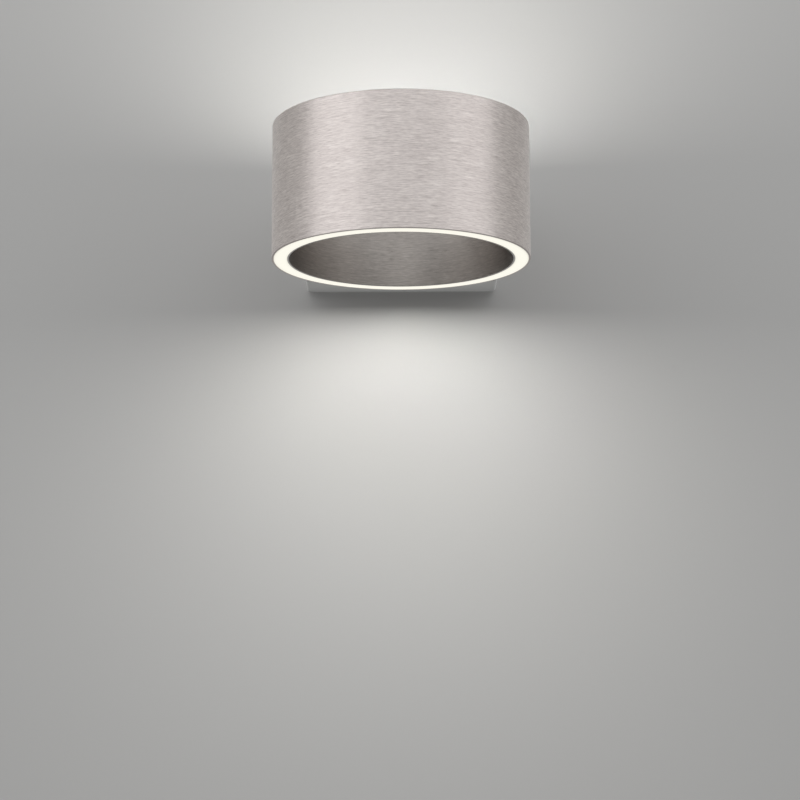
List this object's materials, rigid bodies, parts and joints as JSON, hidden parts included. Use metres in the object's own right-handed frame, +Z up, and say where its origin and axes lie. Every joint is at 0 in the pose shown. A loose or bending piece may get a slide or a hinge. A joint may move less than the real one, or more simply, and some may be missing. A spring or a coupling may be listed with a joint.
{
  "type": "tube wall light",
  "caption": "Short upright double-walled metal tube with an opal light ring flush in each end, on a shallow white wall box; shines up and down the wall.",
  "frame": {"origin": "on the wall plane, at the middle of the wall bracket and level with the middle of the tube", "axes": "+X to the right of someone facing the wall, +Y into the wall, +Z up along the tube"},
  "size_m": [0.16, 0.193, 0.085],
  "materials": {
    "brushed_metal": "brushed round the tube, warm nickel colour, satin",
    "opal": "opal diffuser, lit warm white",
    "heat_sink": "turned aluminium, plain",
    "circuit_board": "white solder mask on an aluminium board",
    "led_package": "yellow phosphor in a white package",
    "reflector_white": "white reflector plastic",
    "white_powder_coat": "fine matt powder coat",
    "saddle_nylon": "moulded nylon",
    "bush_rubber": "black rubber",
    "zinc_steel": "zinc-plated sheet steel",
    "stainless_screw": "stainless steel, turned",
    "driver_plastic": "moulded, fine grain",
    "terminal_plastic": "moulded polyamide",
    "brass": "turned brass",
    "tinned_copper": "tinned",
    "lead_red": "flexible insulation",
    "lead_black": "flexible insulation",
    "lead_brown": "flexible insulation",
    "lead_blue": "flexible insulation",
    "lead_earth": "green and yellow insulation"
  },
  "bodies": {
    "bracket": {"wall_bracket": "zinc_steel", "lock_nuts": "zinc_steel"},
    "lamp": {"outer_sleeve": "brushed_metal", "inner_sleeve": "brushed_metal", "upper_diffuser": "opal", "lower_diffuser": "opal", "core_ring": "heat_sink", "upper_led_board": "circuit_board", "lower_led_board": "circuit_board", "upper_leds": "led_package", "lower_leds": "led_package", "upper_reflector": "reflector_white", "lower_reflector": "reflector_white", "wall_box": "white_powder_coat", "tube_saddle": "saddle_nylon", "cable_bush": "bush_rubber", "cable_clamp": "zinc_steel", "weld_studs": "zinc_steel", "driver_nuts": "zinc_steel", "clamp_nuts": "zinc_steel", "tube_screws": "stainless_screw", "upper_board_screws": "stainless_screw", "lower_board_screws": "stainless_screw", "driver_case": "driver_plastic", "driver_lid": "driver_plastic", "terminal_block": "terminal_plastic", "terminal_screws": "brass", "earth_stud": "brass", "earth_nut": "brass", "earth_lug": "tinned_copper", "lead_upper_red": "lead_red", "lead_lower_red": "lead_red", "lead_upper_black": "lead_black", "lead_lower_black": "lead_black", "lead_live": "lead_brown", "lead_neutral": "lead_blue", "lead_earth": "lead_earth"},
    "washer_left": {"lock_washer_left": "stainless_screw"},
    "screw_left": {"lock_screw_left": "stainless_screw"},
    "washer_right": {"lock_washer_right": "stainless_screw"},
    "screw_right": {"lock_screw_right": "stainless_screw"}
  },
  "joints": [
    {"name": "lamp_slide", "type": "slide", "parent": "bracket", "child": "lamp", "axis": [0, -1, 0], "range_m": [0, 0.032]},
    {"name": "lock_screw_left_travel", "type": "slide", "parent": "bracket", "child": "washer_left", "axis": [-1, 0, 0], "range_m": [0, 0.0014]},
    {"name": "lock_screw_left_turn", "type": "hinge", "parent": "washer_left", "child": "screw_left", "pos_m": [-0.0633, -0.013, 0], "axis": [-1, 0, 0], "range_deg": [0, 720]},
    {"name": "lock_screw_right_travel", "type": "slide", "parent": "bracket", "child": "washer_right", "axis": [1, 0, 0], "range_m": [0, 0.0014]},
    {"name": "lock_screw_right_turn", "type": "hinge", "parent": "washer_right", "child": "screw_right", "pos_m": [0.0633, -0.013, 0], "axis": [1, 0, 0], "range_deg": [0, 720]}
  ],
  "couplings": [
    {"joint": "lock_screw_left_turn", "follows": "lock_screw_left_travel", "rad_per_m": 8976},
    {"joint": "lock_screw_right_turn", "follows": "lock_screw_right_travel", "rad_per_m": 8976}
  ]
}
